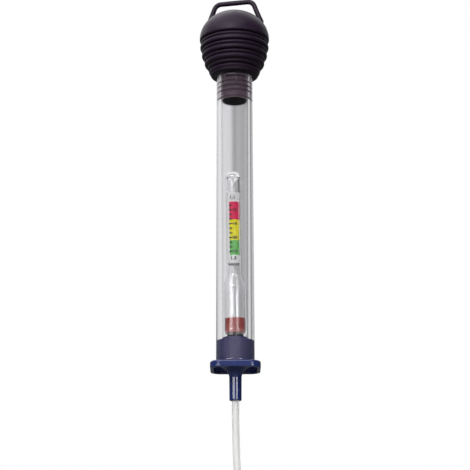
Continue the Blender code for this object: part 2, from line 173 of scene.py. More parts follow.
# Float
float_body_radius = 0.0079
float_stem_radius = 0.0052
float_glass_wall = 0.0008
float_body_height = 0.0357
float_shoulder_height = 0.0117
float_length = 0.1194
float_tip_height = 0.0030
float_cap_thickness = 0.0022   # solid glass where the stem was melted shut
tip_lump_depth = 0.00014
tip_lump_core = 0.0010         # nearer the axis than this the lumps fade
hollow_tip_power = 1.6         # how full the round end of the hollow is
float_lean = -0.75
scale_length = 0.0500
scale_top_drop = 0.0157
scale_paper_thickness = 0.00012
scale_overlap = 40.0
wax_foot_height = 0.0060
wax_height = 0.0098
wax_meniscus = 0.0010
wax_clearance = 0.00003
wax_rim_power = 6              # how late the meniscus turns up toward the glass
shot_radius = 0.0013
shot_count = 13

# Camera: it looks up at the tester from below
camera_distance = 1.0
camera_aim_z = -0.1688
camera_rise = 14.7
camera_roll = -0.174
camera_sensor = 36.0
camera_lens = 112.2

# Floor
floor_z = -0.60
floor_radius = 6.0
floor_fade_start = 0.15
floor_fade_end = 0.70

# Soft lamps: name, azimuth, elevation, height on the axis that it faces, distance, width, depth, power
softboxes = (
    ("sky_box", -28.0, 53.0, 0.0, 1.40, 2.4, 1.6, 13.0),
    ("front_box", -16.0, 25.0, 0.0, 1.40, 0.9, 0.24, 4.2),
    ("front_wall", 0.0, -8.0, 0.0, 1.60, 2.2, 1.0, 2.3),
    ("top_box", 175.0, 60.0, 0.0, 1.40, 1.8, 1.0, 5.5),
    ("left_strip", -27.0, 0.0, 0.01, 1.10, 0.38, 0.080, 0.40),
    ("right_strip", 14.0, 0.0, 0.01, 1.10, 0.30, 0.080, 0.20),
    ("low_left_strip", -34.0, 0.0, -0.112, 1.10, 0.86, 0.068, 1.15),
    ("low_right_strip", 28.0, 0.0, -0.112, 1.10, 0.44, 0.068, 0.72),
)

# The room around, as pairs of azimuth, 0 straight behind the tester, and level
room_greys = (
    (-180, 0.10), (-100, 0.12), (-75, 0.70), (-62, 0.80), (-40, 0.82), (-24, 0.70), (-14, 0.84), (-4.8, 0.84),
    (-3, 0.72), (-1.4, 0.52), (0, 0.42), (1.2, 0.48), (2.2, 0.54), (4, 0.50), (9, 0.46), (19, 0.50),
    (25, 0.20), (33, 0.20), (42, 0.74), (75, 0.70), (100, 0.10), (180, 0.10),
)
sheen_greys = (
    (-180, 0.08), (-100, 0.10), (-72, 0.85), (-30, 1.00), (0, 0.85), (40, 0.50), (75, 0.10), (180, 0.08),
)

# Facets around a turned piece
wide_steps = 144
slim_steps = 72
merge_distance = 0.000001


def placed(name, data):
    """A new object with its data, in the scene."""
    made = bpy.data.objects.new(name, data)
    bpy.context.scene.collection.objects.link(made)
    return made


def mesh_from(scratch, name):
    """The mesh that a scratch object's modifiers or curve settings give it. The scratch object goes."""
    bpy.context.view_layer.update()
    graph = bpy.context.evaluated_depsgraph_get()
    mesh = bpy.data.meshes.new_from_object(scratch.evaluated_get(graph))
    mesh.name = name
    bpy.data.objects.remove(scratch, do_unlink=True)
    return mesh


def mesh_of(shape, name):
    """The mesh of a finished bmesh."""
    mesh = bpy.data.meshes.new(name)
    shape.to_mesh(mesh)
    shape.free()
    return mesh


def piece(name, mesh, finish, crease=38.0):
    """A visible piece with its own mesh and finish, smooth but for edges sharper than the crease angle."""
    made = placed(name, mesh)
    mesh.materials.clear()
    mesh.materials.append(finish)
    mesh.shade_smooth()
    mesh.set_sharp_from_angle(angle=math.radians(crease))
    return made


def turned_mesh(name, profile, steps, closed=False):
    """A profile of (radius, height) points, which runs down the outer side, turned about the axis."""
    line = bpy.data.meshes.new(name + "_line")
    points = [(radius, 0.0, height) for radius, height in profile]
    edges = [(n, n + 1) for n in range(len(points) - 1)]
    if closed:
        edges.append((len(points) - 1, 0))
    line.from_pydata(points, edges, [])
    scratch = placed(name + "_line", line)
    screw = scratch.modifiers.new("turn", "SCREW")
    screw.axis = "Z"
    screw.angle = math.tau
    screw.steps = steps
    screw.render_steps = steps
    screw.use_merge_vertices = True
    screw.merge_threshold = merge_distance
    mesh = mesh_from(scratch, name)
    bpy.data.meshes.remove(line)
    return mesh


def rod_mesh(name, path, radius, facets, capped, sizes=None):
    """A round rod along a path of (x, z) points, whose radius is times a size at each point."""
    curve = bpy.data.curves.new(name + "_line", "CURVE")
    curve.dimensions = "3D"
    curve.bevel_depth = radius
    curve.bevel_resolution = facets
    curve.use_fill_caps = capped
    spline = curve.splines.new("POLY")
    spline.points.add(len(path) - 1)
    for spot, (x, z), size in zip(spline.points, path, sizes or [1.0] * len(path)):
        spot.co = (x, 0.0, z, 1.0)
        spot.radius = size
    return mesh_from(placed(name + "_line", curve), name)


def softened(corners, steps=4):
    """A line through (radius, height, rounding) corners, each rounded by its own amount."""
    points = []
    for number, (radius, height, rounding) in enumerate(corners):
        here = Vector((radius, height))
        if rounding <= 0 or number in (0, len(corners) - 1):
            points.append((radius, height))
            continue
        to_last = Vector(corners[number - 1][:2]) - here
        to_next = Vector(corners[number + 1][:2]) - here
        start = here + to_last.normalized() * min(rounding, to_last.length / 2)
        end = here + to_next.normalized() * min(rounding, to_next.length / 2)
        for step in range(steps + 1):
            share = step / steps
            bend = start * (1 - share) ** 2 + here * 2 * share * (1 - share) + end * share ** 2
            points.append((bend.x, bend.y))
    return points


def arc_points(count, first, last):
    """Angles in radians from first to last, both in degrees."""
    return [math.radians(first + (last - first) * n / count) for n in range(count + 1)]


def quarter(radius, z, height, count, first, last, inner=0.0):
    """Points of a quarter ellipse round a height, of which 0 degrees is the widest and 90 the end."""
    return [
        (inner + radius * math.cos(angle), z + height * math.sin(angle))
        for angle in arc_points(count, first, last)
    ]


# Node groups and finishes


def feed(tree, socket, value):
    """Gives a socket another node's output, a number, a vector or a colour."""
    if isinstance(value, bpy.types.NodeSocket):
        tree.links.new(value, socket)
    elif socket.type == "RGBA":
        socket.default_value = (*value, 1.0)
    else:
        socket.default_value = value


def new_node(tree, kind, **values):
    """A shader node whose named sockets are fed. A socket's name has _ for a space."""
    node = tree.nodes.new("ShaderNode" + kind)
    set_sockets(tree, node, **values)
    return node


def set_sockets(tree, node, **values):
    for name, value in values.items():
        feed(tree, node.inputs[name.replace("_", " ")], value)


def reckoned(tree, operation, first, second, kind="Math"):
    """What a Math or VectorMath node makes of two values."""
    node = new_node(tree, kind)
    node.operation = operation
    feed(tree, node.inputs[0], first)
    feed(tree, node.inputs[1], second)
    return node.outputs[0]


def coordinate(tree, kind):
    """A vector that changes from point to point: the place on the object, the normal or the direction."""
    return new_node(tree, "TexCoord").outputs[kind]


def split(tree, vector):
    """The X, Y and Z of a vector."""
    return new_node(tree, "SeparateXYZ", Vector=vector).outputs


def from_axis(tree):
    """Distance from the object's Z axis."""
    place = coordinate(tree, "Object")
    length = new_node(tree, "VectorMath")
    length.operation = "LENGTH"
    feed(tree, length.inputs[0], reckoned(tree, "MULTIPLY", place, (1.0, 1.0, 0.0), "VectorMath"))
    return length.outputs["Value"]


def between(tree, value, start, end, low=0.0, high=1.0, curve="SMOOTHSTEP"):
    """A number that goes from low to high as a value goes from start to end."""
    node = new_node(tree, "MapRange", Value=value, From_Min=start, From_Max=end, To_Min=low, To_Max=high)
    node.interpolation_type = curve
    return node.outputs["Result"]


def ranged(tree, mask, low, high):
    """A number that goes evenly from low to high as the mask goes from 0 to 1."""
    return between(tree, mask, 0.0, 1.0, low, high, curve="LINEAR")


def mixed(tree, mask, first, second):
    """A colour that goes from first to second as the mask goes from 0 to 1."""
    node = new_node(tree, "Mix")
    node.data_type = "RGBA"
    colours = [socket for socket in node.inputs if socket.type == "RGBA"]
    feed(tree, node.inputs["Factor"], mask)
    feed(tree, colours[0], first)
    feed(tree, colours[1], second)
    return [socket for socket in node.outputs if socket.type == "RGBA"][0]


def new_group(name, **values):
    """A node group with its inputs at the given values and a mask for output, and both ends' sockets."""
    group = bpy.data.node_groups.new(name, "ShaderNodeTree")
    for socket, value in values.items():
        label = socket.replace("_", " ")
        made = group.interface.new_socket(label, in_out="INPUT", socket_type="NodeSocketFloat")
        made.default_value = value
    group.interface.new_socket("Mask", in_out="OUTPUT", socket_type="NodeSocketFloat")
    given = group.nodes.new("NodeGroupInput").outputs
    mask = group.nodes.new("NodeGroupOutput").inputs["Mask"]
    return group, given, mask


def group_mask(tree, group, **values):
    """The mask of a node group, placed in a tree with its own values."""
    node = new_node(tree, "Group")
    node.node_tree = group
    set_sockets(tree, node, **values)
    return node.outputs["Mask"]


def make_grain_group():
    """Fine grain: a mask from 0 to 1 whose grains have a size in millimetres and a stretch along the axis."""
    millimetre = 0.001
    group, given, mask = new_group("fine_grain", Grain_Size=1.0, Stretch=1.0, Detail=4.0)
    size = reckoned(group, "MULTIPLY", given["Grain Size"], millimetre)
    frequency = reckoned(group, "DIVIDE", 1.0, size)
    along = reckoned(group, "DIVIDE", 1.0, given["Stretch"])
    squash = new_node(group, "CombineXYZ", X=1.0, Y=1.0, Z=along).outputs[0]
    place = reckoned(group, "MULTIPLY", coordinate(group, "Object"), squash, "VectorMath")
    noise = new_node(
        group, "TexNoise", Vector=place, Scale=frequency, Detail=given["Detail"], Roughness=0.55,
    )
    feed(group, mask, noise.outputs["Fac"])
    return group


def make_scuff_group():
    """Rubbed patches: a mask that is 0 but for a share of the surface, with soft broken edges."""
    group, given, mask = new_group("rubbed_patches", Patch_Size=6.0, Stretch=1.0, Amount=0.5)
    broad = group_mask(
        group, grain_group, Grain_Size=given["Patch Size"], Stretch=given["Stretch"], Detail=6.0,
    )
    threshold = reckoned(group, "SUBTRACT", 0.75, reckoned(group, "MULTIPLY", given["Amount"], 0.3))
    feed(group, mask, between(group, broad, threshold, 0.82))
    return group


grain_group = make_grain_group()
scuff_group = make_scuff_group()


def grain(tree, size, stretch=1.0, detail=4.0):
    """The fine grain mask, of a size in millimetres."""
    return group_mask(tree, grain_group, Grain_Size=size, Stretch=stretch, Detail=detail)


def scuffs(tree, size, stretch=1.0, amount=0.5):
    """The mask of rubbed patches, of a size in millimetres."""
    return group_mask(tree, scuff_group, Patch_Size=size, Stretch=stretch, Amount=amount)


def new_finish(name, colour, roughness, **values):
    """A material and its node tree. Its shader has the colour, the roughness and named socket values."""
    made = bpy.data.materials.new(name)
    made.use_nodes = True
    tree = made.node_tree
    shade(tree, Base_Color=colour, Roughness=roughness, **values)
    return made, tree


def shader_of(tree):
    return tree.nodes["Principled BSDF"]


def shade(tree, **values):
    """Gives the material's own shader its values, plain or changing over the surface."""
    set_sockets(tree, shader_of(tree), **values)


def relief(tree, height, depth, strength, below=None):
    """Bump of a depth in metres, over an earlier bump if one is given."""
    bump = new_node(tree, "Bump", Strength=strength, Distance=depth, Height=height)
    if below is not None:
        feed(tree, bump.inputs["Normal"], below)
    shade(tree, Normal=bump.outputs["Normal"])
    return bump.outputs["Normal"]


def toward_grazing(tree, face_on, grazing, start, end):
    """A colour that changes where the surface turns away from the ray: painted shade toward the grazing
    edges.
    """
    layer = new_node(tree, "LayerWeight", Blend=0.5)
    return mixed(tree, between(tree, layer.outputs["Facing"], start, end), face_on, grazing)


def blend_surface(tree, mask, first, second):
    """The surface goes from the first shader to the second as the mask goes from 0 to 1."""
    mix = new_node(tree, "MixShader")
    for socket, value in zip(mix.inputs, (mask, first, second)):
        feed(tree, socket, value)
    feed(tree, tree.nodes["Material Output"].inputs["Surface"], mix.outputs[0])


def let_lamps_through(tree, tint):
    """Clear pieces let the lamps' light reach what is inside them."""
    path = new_node(tree, "LightPath")
    clear = new_node(tree, "BsdfTransparent", Color=tint)
    blend_surface(tree, path.outputs["Is Shadow Ray"], shader_of(tree).outputs[0], clear.outputs[0])


def rubber_finish():
    """Black rubber, dulled by handling in patches, with a near-black painted shade on the faces that look
    down.
    """
    made, tree = new_finish("black_rubber", (0.030, 0.014, 0.038), 0.46, Specular_IOR_Level=0.36)
    painted_underside_shade = between(tree, split(tree, coordinate(tree, "Normal"))["Z"], -0.95, -0.40)
    patches = scuffs(tree, 9.0, amount=0.9)
    dulled = mixed(tree, patches, (0.025, 0.011, 0.032), (0.040, 0.019, 0.049))
    shade(
        tree,
        # painted shade: faces that look down get near black instead of the rubber's colour
        Base_Color=mixed(tree, painted_underside_shade, (0.004, 0.001, 0.005), dulled),
        Roughness=ranged(tree, patches, 0.42, 0.56),
    )
    broad = relief(tree, grain(tree, 2.2, detail=2.0), depth=0.00012, strength=0.5)
    relief(tree, grain(tree, 0.28, detail=3.0), depth=0.00003, strength=0.7, below=broad)
    return made


def neck_finish():
    """The same rubber, lighter grey-brown outside, with painted shade where it presses on the barrel and a
    near-black painted shade inside its bore.
    """
    bore_edge, outer_edge = neck_bore_radius + 0.0005, neck_bore_radius + 0.0011
    contact = bore_radius(mouth_z) + optical_contact
    press_start, press_end = contact - 0.00022, contact - 0.00005
    made, tree = new_finish("neck_rubber", (0.10, 0.08, 0.09), 0.5, Specular_IOR_Level=0.2)
    reach = from_axis(tree)
    outer = between(tree, reach, bore_edge, outer_edge)
    painted_ridge_shade = between(tree, reach, press_start, press_end, curve="LINEAR")
    outer_grey_brown = mixed(tree, grain(tree, 1.2, detail=5.0), (0.150, 0.114, 0.148), (0.260, 0.203, 0.246))
    # painted shade: the ridges and lip that press on the barrel are painted darker
    outer_grey_brown = mixed(tree, painted_ridge_shade, outer_grey_brown, (0.070, 0.048, 0.060))
    shade(
        tree,
        # painted shade: inside the bore the rubber is painted near black
        Base_Color=mixed(tree, outer, (0.004, 0.002, 0.004), outer_grey_brown),
        Roughness=ranged(tree, outer, 0.95, 0.45),
    )
    relief(tree, grain(tree, 0.35, detail=3.0), depth=0.00003, strength=0.6)
    return made


def barrel_finish():
    """Clear plastic with painted shade toward its grazing edges, and painted shade where the neck sits in it.
    """
    clear = (0.95, 0.95, 0.96)
    painted_shade_start, painted_shade_end = mouth_z - 0.0004, mouth_z + 0.0008
    made, tree = new_finish(
        "clear_barrel", clear, 0.015, Transmission_Weight=1.0, IOR=1.5, Specular_IOR_Level=0.15,
    )
    at_neck = between(tree, split(tree, coordinate(tree, "Object"))["Z"], painted_shade_start, painted_shade_end)
    clear_with_painted_edge_shade = toward_grazing(tree, clear, (0.40, 0.40, 0.42), 0.55, 0.95)
    shade(
        tree,
        # painted shade: the wall by the neck is painted darker, and the rest greyer toward its grazing edges
        Base_Color=mixed(tree, at_neck, clear_with_painted_edge_shade, (0.52, 0.485, 0.515)),
        Roughness=ranged(tree, scuffs(tree, 3.0, stretch=8.0, amount=0.5), 0.01, 0.07),
    )
    relief(tree, grain(tree, 1.6, stretch=60.0, detail=3.0), depth=0.00002, strength=0.35)
    let_lamps_through(tree, (0.93, 0.93, 0.94))
    return made


def float_glass_finish():
    clear = (0.98, 0.98, 0.985)
    made, tree = new_finish(
        "float_glass", clear, 0.0, Transmission_Weight=1.0, IOR=1.5, Specular_IOR_Level=0.22,
    )
    # painted shade: the glass is painted greyer toward its grazing edges
    shade(tree, Base_Color=toward_grazing(tree, clear, (0.45, 0.44, 0.46), 0.6, 0.96))
    relief(tree, grain(tree, 3.5, stretch=7.0, detail=1.0), depth=0.00004, strength=0.3)
    let_lamps_through(tree, (0.95, 0.95, 0.95))
    return made


def moulding_finish():
    """Blue moulding: glossy outside, and dull and greyer on the plug in the barrel, with painted shade toward
    the plug's grazing edges.
    """
    plug_start, plug_end = flange_top_z, flange_top_z + 0.001
    made, tree = new_finish("blue_moulding", (0.020, 0.036, 0.17), 0.10, Specular_IOR_Level=0.65)
    height = split(tree, coordinate(tree, "Object"))["Z"]
    in_barrel = between(tree, height, plug_start, plug_end, curve="LINEAR")
    patches = scuffs(tree, 4.0, amount=0.7)
    glossy_blue = mixed(tree, patches, (0.027, 0.047, 0.205), (0.040, 0.067, 0.255))
    skin = mixed(tree, grain(tree, 1.4, detail=4.0), (0.028, 0.023, 0.086), (0.050, 0.042, 0.128))
    # painted shade: the plug darkens to navy toward its grazing edges
    dull = toward_grazing(tree, skin, (0.012, 0.012, 0.075), 0.06, 0.36)
    shade(
        tree,
        Base_Color=mixed(tree, in_barrel, glossy_blue, dull),
        Roughness=mixed(tree, in_barrel, ranged(tree, patches, 0.07, 0.16), (0.55, 0.55, 0.55)),
    )
    relief(tree, grain(tree, 2.5, detail=1.0), depth=0.00002, strength=0.2)
    return made


def milky_finish():
    made, tree = new_finish(
        "milky_tube", (0.985, 0.986, 0.975), 0.30, Transmission_Weight=0.90, IOR=1.45,
    )
    shade(tree, Roughness=ranged(tree, grain(tree, 2.0, stretch=6.0), 0.27, 0.34))
    relief(tree, grain(tree, 3.0, stretch=15.0, detail=0.5), depth=0.00002, strength=0.15)
    let_lamps_through(tree, (0.8, 0.81, 0.8))
    return made


def wax_finish():
    made, tree = new_finish("red_wax", (0.42, 0.045, 0.03), 0.38, Specular_IOR_Level=0.5)
    patches = grain(tree, 1.8, detail=5.0)
    poured = mixed(tree, patches, (0.17, 0.010, 0.010), (0.48, 0.055, 0.040))
    # painted shade: the wax darkens toward its grazing edges
    shade(
        tree,
        Base_Color=toward_grazing(tree, poured, (0.10, 0.006, 0.010), 0.30, 0.75),
        Roughness=ranged(tree, patches, 0.28, 0.5),
    )
    relief(tree, grain(tree, 0.9, detail=5.0), depth=0.00022, strength=0.7)
    return made


def lead_finish():
    made, tree = new_finish("grey_lead", (0.10, 0.10, 0.11), 0.42, Metallic=0.85)
    patches = grain(tree, 0.5, detail=5.0)
    shade(
        tree,
        Base_Color=mixed(tree, patches, (0.012, 0.012, 0.014), (0.06, 0.06, 0.065)),
        Roughness=ranged(tree, patches, 0.3, 0.6),
    )
    relief(tree, patches, depth=0.0001, strength=0.6)
    return made


def ink_finish():
    made, tree = new_finish("black_ink", (0.02, 0.02, 0.022), 0.6)
    shade(tree, Base_Color=mixed(tree, grain(tree, 0.15), (0.012, 0.012, 0.014), (0.045, 0.045, 0.05)))
    return made


# Rubber bulb


def belly_radius(z, wall=0.0):
    """Radius at a height of the smooth form that the bulb's crests follow, or of the same form inside it."""
    reach = (dome_height if z > crest_z else belly_reach) - wall
    return (bulb_radius - wall) * math.sqrt(max(0.0, 1 - ((z - crest_z) / reach) ** 2))


def bore_radius(z):
    share = (barrel_top_z - z) / (barrel_top_z - barrel_foot_z)
    return bore_top_radius + (bore_foot_radius - bore_top_radius) * share


def eased(table, place):
    """Value of a table of (place, value) pairs at a place, on a smooth line through them."""
    place = min(max(place, table[0][0]), table[-1][0])
    slopes = []
    for number in range(len(table)):
        before = table[max(0, number - 1)]
        after = table[min(len(table) - 1, number + 1)]
        slopes.append((after[1] - before[1]) / (after[0] - before[0]))
    for number in range(len(table) - 1):
        (start, first), (end, last) = table[number], table[number + 1]
        if place <= end:
            width = end - start
            t = (place - start) / width
            return (
                first * (2 * t ** 3 - 3 * t ** 2 + 1)
                + slopes[number] * width * (t ** 3 - 2 * t ** 2 + t)
                + last * (3 * t ** 2 - 2 * t ** 3)
                + slopes[number + 1] * width * (t ** 3 - t ** 2)
            )


def rib_relief(place):
    """Depth of the ribbed face below its crests, as a share, at a number of ribs below the first notch."""
    if place < collar_crest_share - 1:
        return 0.0
    return eased(rib_shape_shares, place - math.floor(place))


def bulb_profile():
    """The outside from the dome's top to the neck's mouth, and the inside back up to the dome."""
    points = quarter(bulb_radius, crest_z, dome_height, 30, 90, 0)
    points[0] = (0.0, dome_top_z)
    pitch = (first_notch_z - collar_top_z) / rib_count
    steps = 22
    rib_steps = steps * rib_count + steps // 2
    for step in range(1, rib_steps + 1):
        z = crest_z - (crest_z - collar_top_z) * step / rib_steps
        place = (first_notch_z - z) / pitch
        points.append((belly_radius(z) - rib_depth * rib_relief(place), z))
    edge_z = collar_top_z - collar_edge_drop
    for step in range(1, steps):
        z = collar_top_z - collar_edge_drop * step / steps
        place = min((collar_top_z - z) / pitch, collar_crest_share)
        points.append((belly_radius(z) - rib_depth * rib_relief(place), z))
    foot_z = barrel_top_z + optical_contact
    foot_radius = barrel_top_radius + collar_foot_width
    edge_reach = belly_radius(edge_z) - foot_radius
    points += quarter(edge_reach, edge_z, foot_z - edge_z, 12, 0, 90, inner=foot_radius)
    points += [
        (neck_bore_radius, foot_z),
        (neck_bore_radius, foot_z + optical_contact),
        (belly_radius(collar_top_z, bulb_wall), collar_top_z),
    ]
    inner_steps = 24
    for step in range(1, inner_steps + 1):
        z = collar_top_z + (crest_z - collar_top_z) * step / inner_steps
        points.append((belly_radius(z, bulb_wall), z))
    points += quarter(bulb_radius - bulb_wall, crest_z, dome_height - bulb_wall, 16, 0, 90)[1:]
    points[-1] = (0.0, dome_top_z - bulb_wall)
    return points


def make_bulb(rubber):
    mesh = turned_mesh("rubber_bulb", bulb_profile(), wide_steps)
    bulb = piece("rubber_bulb", mesh, rubber, crease=60.0)
    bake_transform(bulb)
    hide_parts("bulb_dome", "bulb_bellows")


def make_neck(rubber):
    """The neck in the barrel. Only its ridges and its lip press on the barrel's wall."""
    top_z = barrel_top_z + optical_contact
    side = bore_radius(mouth_z) + optical_contact
    recess = side - optical_contact - seal_ridge_height
    corners = [(neck_bore_radius, top_z, 0.0), (recess, top_z, 0.0)]
    for ridge in range(seal_ridge_count):
        middle = barrel_top_z - seal_ridge_first - ridge * seal_ridge_pitch
        for width_share, height_share in seal_ridge_shares:
            radius = recess + (side - recess) * height_share
            corners.append((radius, middle + seal_ridge_width * width_share, seal_ridge_round))
    corners += [
        (recess, mouth_z + 2 * neck_lip_height, neck_lip_round),
        (side, mouth_z + neck_lip_height, neck_lip_round),
        (side, mouth_z, neck_lip_round),
        (neck_bore_radius, mouth_z, neck_lip_round),
        (neck_bore_radius, mouth_z + neck_bore_ring, 0.0),
    ]
    mesh = turned_mesh("rubber_neck", softened(corners, 3), wide_steps, closed=True)
    neck = piece("rubber_neck", mesh, rubber, crease=60.0)
    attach(neck, "barrel")
    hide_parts("bulb_neck")


def make_loop(rubber):
    """The hanging loop: a rod bent over two corners, thicker in its legs, whose feet sink into the dome."""
    lean = math.radians(loop_leg_lean)
    bend = math.pi / 2 - lean
    straight_half = loop_corner_half_span - loop_corner_radius * math.tan(bend / 2)
    half = [(0.0, loop_bar_radius), (straight_half / 2, loop_bar_radius)]
    for angle in arc_points(10, 0, math.degrees(bend)):
        half.append((
            straight_half + loop_corner_radius * math.sin(angle),
            loop_bar_radius - loop_corner_radius * (1 - math.cos(angle)),
        ))
    for length, angle, steps in (
        (loop_leg_length, lean, 8),
        (loop_foot_length, math.radians(loop_foot_lean), 3),
    ):
        end_x, end_z = half[-1]
        for step in range(1, steps + 1):
            reach = length * step / steps
            half.append((end_x + reach * math.sin(angle), end_z - reach * math.cos(angle)))
    path = [(-x, z) for x, z in reversed(half[1:])] + half
    run = [0.0]
    for (last_x, last_z), (x, z) in zip(half, half[1:]):
        run.append(run[-1] + math.hypot(x - last_x, z - last_z))
    thickness = [eased(loop_taper_shares, length / run[-1]) for length in run]
    thickness = list(reversed(thickness[1:])) + thickness
    mesh = rod_mesh("rubber_loop", path, loop_bar_radius, facets=5, capped=True, sizes=thickness)
    mesh.transform(Matrix.Rotation(math.radians(loop_turn), 4, "Z"))
    loop = piece("rubber_loop", mesh, rubber, crease=60.0)
    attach(loop, "bulb")
    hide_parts("hanging_loop")


# Barrel, foot and suction tube


def make_barrel(clear):
    profile = softened([
        (bore_top_radius, barrel_top_z - bore_ring, 0.0),
        (bore_top_radius, barrel_top_z, bore_rim_round),
        (barrel_top_radius, barrel_top_z, barrel_rim_round),
        (barrel_top_radius, barrel_top_z - wall_start, 0.0),
        (barrel_foot_radius, barrel_foot_z + wall_start, 0.0),
        (barrel_foot_radius, barrel_foot_z, barrel_rim_round),
        (bore_foot_radius, barrel_foot_z, bore_rim_round),
        (bore_foot_radius, barrel_foot_z + bore_ring, 0.0),
    ])
    mesh = turned_mesh("clear_tube", profile, wide_steps, closed=True)
    barrel = piece("clear_tube", mesh, clear, crease=60.0)
    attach(barrel, "barrel")
    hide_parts("barrel")


def outline_reach(angle, half, corner):
    """Distance from the axis to a rounded square of a half width, or to a circle if it has no corner."""
    if corner is None:
        return half
    folded = abs((angle + math.pi / 4) % (math.pi / 2) - math.pi / 4)
    straight = half - corner
    if half * math.tan(folded) <= straight:
        return half / math.cos(folded)
    towards = straight * (math.cos(folded) + math.sin(folded))
    return towards + math.sqrt(max(0.0, corner ** 2 - (2 * straight ** 2 - towards ** 2)))


def lofted_mesh(name, rings, steps):
    """A closed band of rings, each (half width, corner radius or None, height, slot share)."""
    shape = bmesh.new()
    loops = []
    for half, corner, z, slot_share in rings:
        loop = []
        for step in range(steps):
            angle = math.tau * (step + 0.5) / steps
            reach = outline_reach(angle, half, corner)
            off_slot = abs((angle % (math.pi / 2)) - math.pi / 4) * reach / (flow_slot_width / 2)
            drop = slot_share * math.exp(-off_slot ** 4) * flow_slot_depth * 2
            loop.append(shape.verts.new((reach * math.cos(angle), reach * math.sin(angle), z - drop)))
        loops.append(loop)
    for loop, below in zip(loops, loops[1:] + loops[:1]):
        for step in range(steps):
            after = (step + 1) % steps
            shape.faces.new((loop[step], below[step], below[after], loop[after]))
    bmesh.ops.recalc_face_normals(shape, faces=shape.faces)
    return mesh_of(shape, name)


def foot_rings():
    """The foot's outside from the funnel's rim to the spigot's end, and the waterway back up."""
    rings = []

    def circle(radius, z, slot_share=0.0):
        rings.append((radius, None, z, slot_share))

    def square(inset, z):
        corner = max(flange_corner_radius - inset, least_corner_radius)
        rings.append((flange_half_width - inset, corner, z, 0.0))

    def bend(put, steps, place, z, across, rise, first, last):
        """Rings round a quarter bend, whose angle is 0 on its upright side and 90 on its level one."""
        for angle in arc_points(steps, first, last):
            put(place + across * (1 - math.cos(angle)), z + rise * (1 - math.sin(angle)))

    side = bore_foot_radius + optical_contact
    funnel_rim = funnel_depth + inlet_radius
    circle(funnel_rim, plug_top_z - funnel_rim_round)
    circle(funnel_rim + funnel_rim_round, plug_top_z)
    shoulder_steps = 10
    for step in range(shoulder_steps + 1):
        share = step / shoulder_steps
        bulge = plug_top_radius + (side - plug_top_radius) * math.sin(share * math.pi / 2)
        slope = plug_top_radius + (side - plug_top_radius) * share
        circle((bulge + slope) / 2, plug_top_z - plug_shoulder_height * share)
    circle(side, plug_top_z - plug_shoulder_height - plug_ring)
    circle(side, flange_top_z + 2 * plug_foot_round)
    circle(side, flange_top_z + plug_foot_round)
    circle(side + plug_foot_round, flange_top_z)
    square(flange_edge_round + flange_top_ring, flange_top_z)
    bend(square, 6, 0.0, flange_top_z, flange_edge_round, -flange_edge_round, 90, 0)
    square(0.0, flange_top_z - flange_edge_round - flange_ring)
    square(0.0, flange_foot_z + flange_foot_round + flange_ring)
    bend(square, 4, 0.0, flange_foot_z, flange_foot_round, flange_foot_round, 0, 90)
    bend(square, 4, flange_rim_wall, flange_foot_z, -rim_inner_round, rim_inner_round, 90, 0)
    bend(square, 4, flange_rim_wall, ceiling_z, ceiling_round, -ceiling_round, 0, 90)
    bend(circle, 12, spigot_top_radius, ceiling_z, hub_flare_reach, -hub_flare_drop, 90, 0)
    circle(spigot_top_radius, ceiling_z - hub_flare_drop - spigot_ring)
    circle(spigot_foot_radius, spigot_foot_z + spigot_end_round + spigot_ring)
    bend(circle, 4, spigot_foot_radius, spigot_foot_z, -spigot_end_round, spigot_end_round, 0, 90)
    socket = tube_radius + seat_gap / 3
    circle(socket + socket_mouth_round, spigot_foot_z)
    circle(socket, spigot_foot_z + socket_mouth_round)
    circle(socket, socket_top_z)
    circle(inlet_radius, socket_top_z)
    circle(inlet_radius, funnel_foot_z - inlet_ring)
    funnel_steps = 6
    for step in range(funnel_steps):
        rise = funnel_depth * step / funnel_steps
        circle(inlet_radius + rise, funnel_foot_z + rise, 1.0 if step else 0.0)
    return rings


def make_foot(blue):
    foot = piece("blue_foot", lofted_mesh("blue_foot", foot_rings(), 2 * wide_steps), blue)
    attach(foot, "barrel")
    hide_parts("foot")


def make_suction_tube(milky):
    path = [(0.0, tube_high.z), (0.0, spigot_foot_z + tube_radius)]
    steps = 24
    for step in range(steps + 1):
        share = step / steps
        path.append((tube_bow * share ** 2, spigot_foot_z + (tube_tip_z - spigot_foot_z) * share))
    shell = placed("tube_shell", rod_mesh("tube_outside", path, tube_radius, facets=8, capped=False))
    wall = shell.modifiers.new("wall", "SOLIDIFY")
    wall.thickness = tube_radius - tube_bore_radius
    wall.offset = -1.0
    wall.use_even_offset = True
    tube = piece("milky_suction_tube", mesh_from(shell, "milky_suction_tube"), milky, crease=50.0)
    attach(tube, "barrel")
    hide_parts("suction_tube")


# Float


seat_z = funnel_foot_z - inlet_radius + math.sqrt(2) * (float_body_radius + seat_gap)
float_place = (
    Matrix.Translation((0.0, 0.0, seat_z))
    @ Matrix.Rotation(math.radians(float_lean), 4, "Y")
    @ Matrix.Translation((0.0, 0.0, -float_body_radius))
)


def ride_in_float(made, slot, *nodes):
    made.data.transform(float_place)
    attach(made, "float")
    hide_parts(*nodes)


def glass_line(offset, stem_top):
    """Half outline of the float's glass, down from a height on its stem, moved in by an offset."""
    body = float_body_radius - offset
    stem = float_stem_radius - offset
    points = [(stem, stem_top), (stem, stem_top - wall_start)]
    shoulder_steps = 20
    for step in range(shoulder_steps + 1):
        share = step / shoulder_steps
        ease = (1 - math.cos(math.pi * share)) / 2
        height = float_body_height + float_shoulder_height * (1 - share)
        points.append((stem + (body - stem) * ease, height))
    points += quarter(body, float_body_radius, -body, 18, 0, 90)
    points[-1] = (0.0, offset)
    return points


